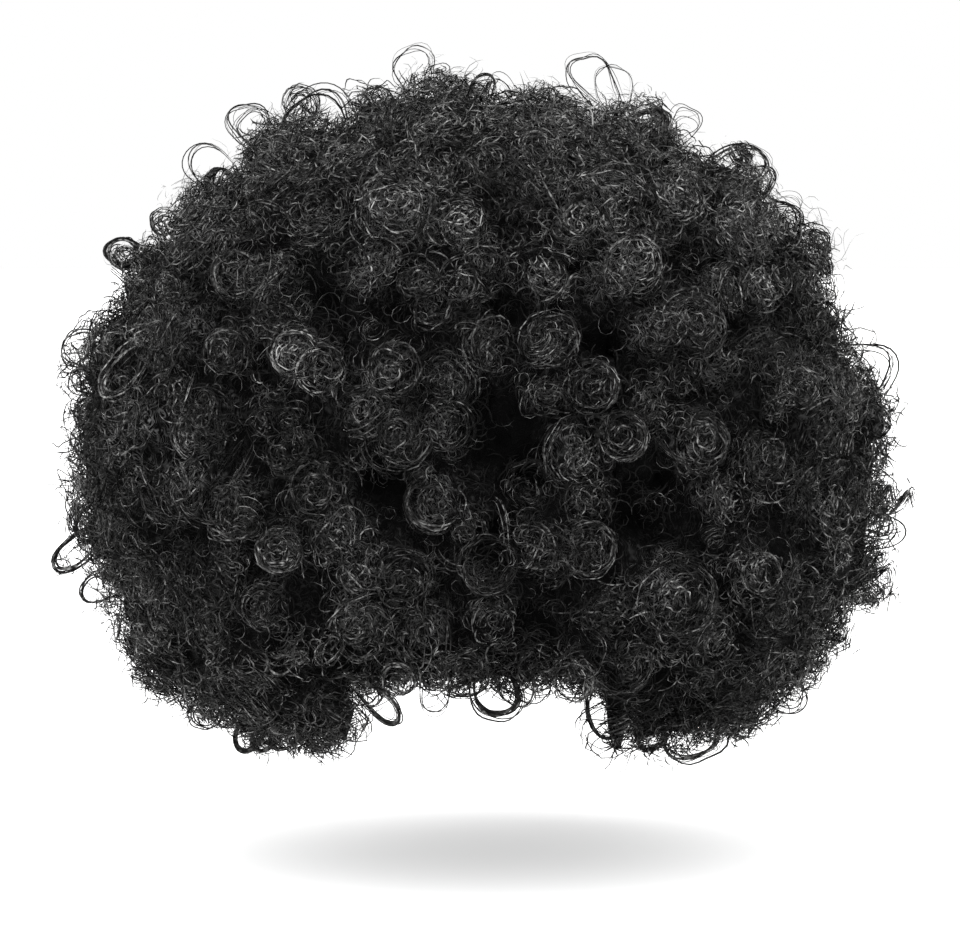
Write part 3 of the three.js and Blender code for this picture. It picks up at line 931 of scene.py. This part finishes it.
# How often a place in a trough gets its fibre, how far the even top counts as a clump, and how many places
# are tried for each fibre wanted
FRIZZ_IN_TROUGHS, TOP_CLUMP, FRIZZ_TRIES = 0.4, 0.6, 1.6

# Painted shade on the frizz in a trough between ringlets and in a hollow
TROUGH_PAINTED_SHADE, HOLLOW_PAINTED_SHADE = 0.05, 0.15

# The hem: how far down its faces look, how much its frizz is filled up and stands out, and the painted
# shade that darkens it
HEM_NORMAL, HEM_CLUMP, HEM_RISE, HEM_SHADE = -0.35, 0.8, 8 * MM, 0.75

# Fine fuzz that stands off the frizz: its share of the frizz, rise and tone, and its radius and width
# against the frizz's
FUZZ_SHARE, FUZZ_RISE, FUZZ_TONE, FUZZ_RADIUS, FUZZ_WIDTH = 0.16, (1 * MM, 8 * MM), 0.6, 1.1, 0.4


class WIG_OT_frizz(Operator):
    """Loose fibres over and between the ringlets, one piece a section"""

    bl_idname = "wig.frizz"
    bl_label = "Frizz"

    def execute(self, context):
        """Fibres are spread over the sections' open surface, fewer in the troughs between ringlets. They
        rise with the root of how far they lie on a clump, and less in hollows and dents."""
        sizes = context.scene.wig_curls
        rng = np.random.default_rng(FRIZZ_SEED)
        material = fibre_material("frizz_fibre", context.scene.wig_colours)
        surfaces = open_hair()
        areas = np.array([np.linalg.norm(triangle_normals(one), axis=1).sum() for one in surfaces])
        counts = np.round(sizes.frizz_count * areas / areas.sum()).astype(int)
        seats = ringlet_seats(context.scene)
        frizz = Curve(sizes.frizz_radius, FRIZZ_LENGTH, FRIZZ_SWEEP, FRIZZ_STEPS)
        fuzz = Curve(sizes.frizz_radius * FUZZ_RADIUS, FUZZ_LENGTH, FUZZ_SWEEP, FUZZ_STEPS)
        for name, triangles, wanted in zip(HAIR, surfaces, counts):
            points, normals = scatter_on(triangles, int(wanted * FRIZZ_TRIES), rng)
            clump, away = clump_at(points, seats)
            clump = clump + (1 - clump) * TOP_CLUMP * top_share(points)
            hem = normals[:, 2] < HEM_NORMAL
            clump = clump + (1 - clump) * HEM_CLUMP * hem
            kept = rng.random(len(points)) < FRIZZ_IN_TROUGHS + (1 - FRIZZ_IN_TROUGHS) * clump
            kept = np.flatnonzero(kept)[:wanted]
            points, normals, clump = points[kept], normals[kept], clump[kept]
            away, hem = away[kept], hem[kept]
            count = len(points)
            out = outward(points, normals)
            faces_out = np.clip(cosine_out(points, normals), 0, 1)
            sunk = in_hollow(points)
            rise = FRIZZ_TROUGH + (FRIZZ_CREST - FRIZZ_TROUGH) * np.sqrt(clump) - sunk * HOLLOW_DEPTH
            rise = FRIZZ_ON_WALLS + faces_out * (rise - FRIZZ_ON_WALLS)
            rise = rise + rng.normal(0, FRIZZ_SCATTER, count)
            rise = rise + hem * HEM_RISE * rng.random(count) - faces_out * dented(points)
            # Painted shade: the frizz darkens in the troughs between clumps, in the hollows and on the
            # downward-facing hem
            tone = (TROUGH_PAINTED_SHADE + (1 - TROUGH_PAINTED_SHADE) * clump**0.8) * np.where(sunk, HOLLOW_PAINTED_SHADE, 1)
            tone = tone * patch_and_painted_light_tone(points) * np.where(hem, HEM_SHADE, 1)
            curls = frizz_strands(points, out, away, rise, tone, frizz, sizes.fibre_width, rng)
            few = rng.choice(count, int(count * FUZZ_SHARE), replace=False)
            rise = (rng.uniform(*FUZZ_RISE, len(few)) - dented(points[few])) * faces_out[few]
            tone, width = np.full(len(few), FUZZ_TONE), sizes.fibre_width * FUZZ_WIDTH
            fine = frizz_strands(points[few], out[few], away[few] * 0, rise, tone, fuzz, width, rng)
            dress(ribbon_object(name.replace("_hair", "_frizz"), [curls, fine], material))
        return {"FINISHED"}


# Waves in a loop's radius, shared by its fibres and each fibre's own, as shares of it, and a strand's
# points
LOOP_WAVE, FIBRE_WAVE, LOOP_STEPS = 0.08, 0.05, 26

# How loosely a loop's fibres lie: with no fibre counted, how much each makes it tighter, and the least
LOOSEST, TIGHTER, TIGHTEST = 1.3, 0.07, 0.45

# Widths of a loop's fibres, and how much thicker they are drawn for each fibre in the loop
LOOP_WIDTHS, LOOP_WIDTH, LOOP_THICKER = [0.4, 0.65, 0.9, 1.35], 0.4, 0.1

# Length of a loop's stems into the hair, and number, radius and fibres of the loops that stand out all
# round
LOOP_STEM, LOOSE_LOOPS, LOOSE_LOOP_RADIUS, LOOSE_LOOP_FIBRES = 12 * MM, 120, (4 * MM, 10 * MM), (3, 8)

# Number, radius, length and fibres of the coils that stand out all round, and how often they go round
LOOSE_COILS, LOOSE_COIL_RADIUS, LOOSE_COIL_LENGTH = 80, (3 * MM, 7 * MM), (3 * MM, 8 * MM)
LOOSE_COIL_FIBRES, COIL_TURNS, COIL_STEPS = (6, 12), (1.5, 2.6), 30


def loop_strands(centre, outward_way, flat_way, radius, fibres, squash, fibre_width, rng):
    """Open loops: each fibre goes about once round its loop's ellipse in the plane of the outward way and
    the flat way, and both of its ends are drawn down into the hair by the stem times the fourth power of
    the way to the end. The radius has a wave that the loop's fibres share and one of their own, and the
    more fibres, the closer they keep together."""
    order = np.repeat(np.arange(len(centre)), fibres)
    count = len(order)
    column, shared = (count, 1), (len(centre), 1)
    first, second = outward_way[order], flat_way[order]
    third = np.cross(first, second)
    share = np.linspace(-1, 1, LOOP_STEPS)
    squash = squash[order][:, None] * rng.uniform(0.9, 1.1, shared)[order]
    turns = rng.uniform(0.75, 1.05, shared)[order] + rng.normal(0, 0.08, column)
    start = rng.normal(0, 0.5, shared)[order]
    advance = rng.normal(0, 0.5, shared)[order]
    spread = np.maximum(LOOSEST - TIGHTER * fibres[order], TIGHTEST)[:, None]
    size = radius[order][:, None] * (1 + 0.1 * spread * rng.normal(size=column))
    angle = share * turns * math.pi + start
    shared_wave = np.sin(rng.integers(2, 4, shared)[order] * angle + rng.uniform(0, TURN, shared)[order])
    own_wave = np.sin(rng.integers(2, 6, column) * angle + rng.uniform(0, TURN, column))
    size = size * (1 + LOOP_WAVE * shared_wave + FIBRE_WAVE * spread * own_wave)
    slide = size * (advance * share + rng.normal(0, 0.15, column))
    middle = centre[order] + 0.12 * spread * rng.normal(size=(count, 3)) * radius[order][:, None]
    up = size * np.cos(angle) - LOOP_STEM * share**4
    flat = size * squash * np.sin(angle) * (1 - 0.25 * share**4)
    paths = along_ways(middle[:, None], (first, up), (second, flat), (third, slide))
    facing = np.repeat(third[:, None], LOOP_STEPS, 1)
    roll = rng.uniform(-0.7, 0.7, column) + rng.normal(0, 0.8, column) * share
    width = fibre_width * rng.choice(LOOP_WIDTHS, count) * (LOOP_WIDTH + LOOP_THICKER * fibres[order])
    tone = rng.beta(1.2, 4, column) * glints(count, share, rng)
    return Strands(paths, facing, width, roll, tone)


def coil_strands(base, way, radius, length, fibres, fibre_width, rng):
    """Coils: each fibre winds about the outward way from inside the hair to its end, where the coil is a
    third narrower. The fibres of one coil keep close together."""
    order = np.repeat(np.arange(len(base)), fibres)
    count = len(order)
    column, shared = (count, 1), (len(base), 1)
    first = across(way, rng)[order]
    second = np.cross(way[order], first)
    share = np.linspace(0, 1, COIL_STEPS)
    turns = rng.uniform(*COIL_TURNS, shared)[order] * rng.choice([-1, 1], shared)[order]
    angle = TURN * turns * share + rng.uniform(0, TURN, shared)[order] + rng.normal(0, 0.7, column)
    size = radius[order][:, None] * rng.normal(1, 0.2, column) * (1 - 0.33 * share)
    rise = length[order][:, None] * (1.6 * share - 0.6) + size * rng.normal(0, 0.3, column)
    shift = rng.normal(0, 0.2, (count, 2, 1)) * size[:, None, :1]
    flat_first, flat_second = size * np.cos(angle) + shift[:, 0], size * np.sin(angle) + shift[:, 1]
    paths = along_ways(base[order][:, None], (first, flat_first), (second, flat_second), (way[order], rise))
    radial = along_ways(0, (first, np.cos(angle)), (second, np.sin(angle)))
    roll = np.repeat(rng.uniform(-0.6, 0.6, column), COIL_STEPS, 1)
    width = fibre_width * rng.uniform(0.5, 1.1, count)
    tone = rng.beta(1.2, 3, column) * glints(count, share, rng)
    return Strands(paths, radial, width, roll, tone)


class WIG_OT_flyaways(Operator):
    """Open loops and coils that stand out of the hair's outline"""

    bl_idname = "wig.flyaways"
    bl_label = "Flyaway curls"

    def execute(self, context):
        """The outline's loops lie square to the front view at their depths. Others stand out all round."""
        stage, fibre_width = context.scene.wig_stage, context.scene.wig_curls.fibre_width
        rng = np.random.default_rng(FLYAWAY_SEED)
        material = fibre_material("flyaway_fibre", context.scene.wig_colours)
        triangles = np.concatenate(open_hair())
        points, normals = scatter_on(triangles, 3 * (LOOSE_LOOPS + LOOSE_COILS), rng)
        turned_out = cosine_out(points, normals) > TURNED_OUT
        points, ways = points[turned_out], outward(points, normals)[turned_out]

        def placed(rows, loose, loose_radius, loose_fibres):
            """Seats of the placed rows and of as many loose ones, taken from the scattered points."""
            nonlocal points, ways
            centre = np.array([at_depth(row, stage) for row in rows])
            way = unit((centre - HAIR_MIDDLE) * np.array([1, 0, 1]))
            flat = np.cross(way, np.array([0, 1, 0]))
            turn = np.radians([row.turn for row in rows])[:, None]
            way, flat = way * np.cos(turn) + flat * np.sin(turn), flat * np.cos(turn) - way * np.sin(turn)
            seat = points[:loose] - ways[:loose] * dented(points[:loose])[:, None]
            lean = unit(ways[:loose] + 0.35 * rng.normal(size=(loose, 3)))
            points, ways = points[loose:], ways[loose:]
            pairs = (
                (centre, seat),
                (way, lean),
                (flat, across(lean, rng)),
                ([row.radius * MM for row in rows], rng.uniform(*loose_radius, loose)),
                ([row.fibres for row in rows], rng.integers(*loose_fibres, loose)),
            )
            return [np.concatenate(pair) for pair in pairs]

        loops = placed(OUTLINE_LOOPS, LOOSE_LOOPS, LOOSE_LOOP_RADIUS, LOOSE_LOOP_FIBRES)
        squash = np.concatenate([[loop.squash for loop in OUTLINE_LOOPS], np.ones(LOOSE_LOOPS)])
        coils = placed(OUTLINE_COILS, LOOSE_COILS, LOOSE_COIL_RADIUS, LOOSE_COIL_FIBRES)
        base, way, _, radius, fibres = coils
        length = [coil.length * MM for coil in OUTLINE_COILS]
        length = np.concatenate([length, rng.uniform(*LOOSE_COIL_LENGTH, LOOSE_COILS)])
        strands = [
            loop_strands(*loops, squash, fibre_width, rng),
            coil_strands(base, way, radius, length, fibres, fibre_width, rng),
        ]
        dress(ribbon_object("flyaway_curls", strands, material))
        return {"FINISHED"}


# Size of the net's cells on each piece that keeps its CAD mesh
NET_CELLS = {"cap": 2.2 * MM, "edge_band": 0.9 * MM}


class WIG_OT_cap(Operator):
    """Net on the cap and a finer net on its edge band"""

    bl_idname = "wig.cap"
    bl_label = "Cap"

    def execute(self, context):
        for node, cell in NET_CELLS.items():
            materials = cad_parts[node].data.materials
            materials.clear()
            materials.append(net_material(node + "_net", context.scene.wig_colours.net, cell))
        return {"FINISHED"}


# Half the floor's width, how wide the light from above is spread, and how it is tilted
FLOOR_REACH, KEY_SPREAD, KEY_TILT = 12.0, math.radians(115), (math.radians(28), math.radians(-12), 0)
WHITE = (1, 1, 1, 1)


class WIG_OT_stage(Operator):
    """Floor, light and camera"""

    bl_idname = "wig.stage"
    bl_label = "Stage"

    def execute(self, context):
        scene, stage = context.scene, context.scene.wig_stage
        finish = Finish("floor")
        finish.feed(finish.shader, {
            "Base Color": (*scene.wig_colours.floor, 1),
            "Roughness": 1,
            "Specular IOR Level": 0,
            "Emission Color": WHITE,
            "Emission Strength": stage.floor_glow,
        })
        corners = np.array([(-1, -1, 0), (1, -1, 0), (1, 1, 0), (-1, 1, 0)]) * FLOOR_REACH
        corners = corners - np.array([0, 0, stage.floor_drop])
        mesh_object("floor", corners, np.array([[0, 1, 2, 3]]), finish.material)

        scene.world = bpy.data.worlds.new("room")
        scene.world.use_nodes = True
        background = scene.world.node_tree.nodes["Background"]
        background.inputs["Color"].default_value = WHITE
        background.inputs["Strength"].default_value = stage.sky_strength

        key = bpy.data.lights.new("key", "SUN")
        key.energy = stage.key_strength
        key.angle = KEY_SPREAD
        key_object = bpy.data.objects.new("key", key)
        key_object.rotation_euler = KEY_TILT
        scene.collection.objects.link(key_object)

        eye, target = camera_place(stage)
        camera = bpy.data.cameras.new("camera")
        camera.lens = camera.sensor_width * stage.distance / stage.view_width
        camera_object = bpy.data.objects.new("camera", camera)
        camera_object.location = eye
        camera_object.rotation_euler = (target - eye).to_track_quat("-Z", "Y").to_euler()
        scene.collection.objects.link(camera_object)
        scene.camera = camera_object
        scene.view_settings.view_transform = "Standard"
        return {"FINISHED"}


class WIG_PT_panel(Panel):
    """Lists the wig's sizes, colours and steps"""

    bl_idname = "WIG_PT_panel"
    bl_label = "Afro wig"
    bl_space_type = "VIEW_3D"
    bl_region_type = "UI"
    bl_category = "Wig"

    def draw(self, context):
        for group in (context.scene.wig_curls, context.scene.wig_colours, context.scene.wig_stage):
            for name in group.__annotations__:
                self.layout.prop(group, name)
        for operator in OPERATORS:
            self.layout.operator(operator.bl_idname)


OPERATORS = (
    WIG_OT_under_hair,
    WIG_OT_ringlets,
    WIG_OT_frizz,
    WIG_OT_flyaways,
    WIG_OT_cap,
    WIG_OT_stage,
)
CLASSES = (WigCurlSizes, WigColours, WigStageSizes, *OPERATORS, WIG_PT_panel)


def register():
    for one in CLASSES:
        bpy.utils.register_class(one)
    bpy.types.Scene.wig_curls = PointerProperty(type=WigCurlSizes)
    bpy.types.Scene.wig_colours = PointerProperty(type=WigColours)
    bpy.types.Scene.wig_stage = PointerProperty(type=WigStageSizes)


def unregister():
    del bpy.types.Scene.wig_stage
    del bpy.types.Scene.wig_colours
    del bpy.types.Scene.wig_curls
    for one in reversed(CLASSES):
        bpy.utils.unregister_class(one)


def main():
    register()
    for operator in OPERATORS:
        module, name = operator.bl_idname.split(".")
        getattr(getattr(bpy.ops, module), name)()


if __name__ == "__main__":
    main()
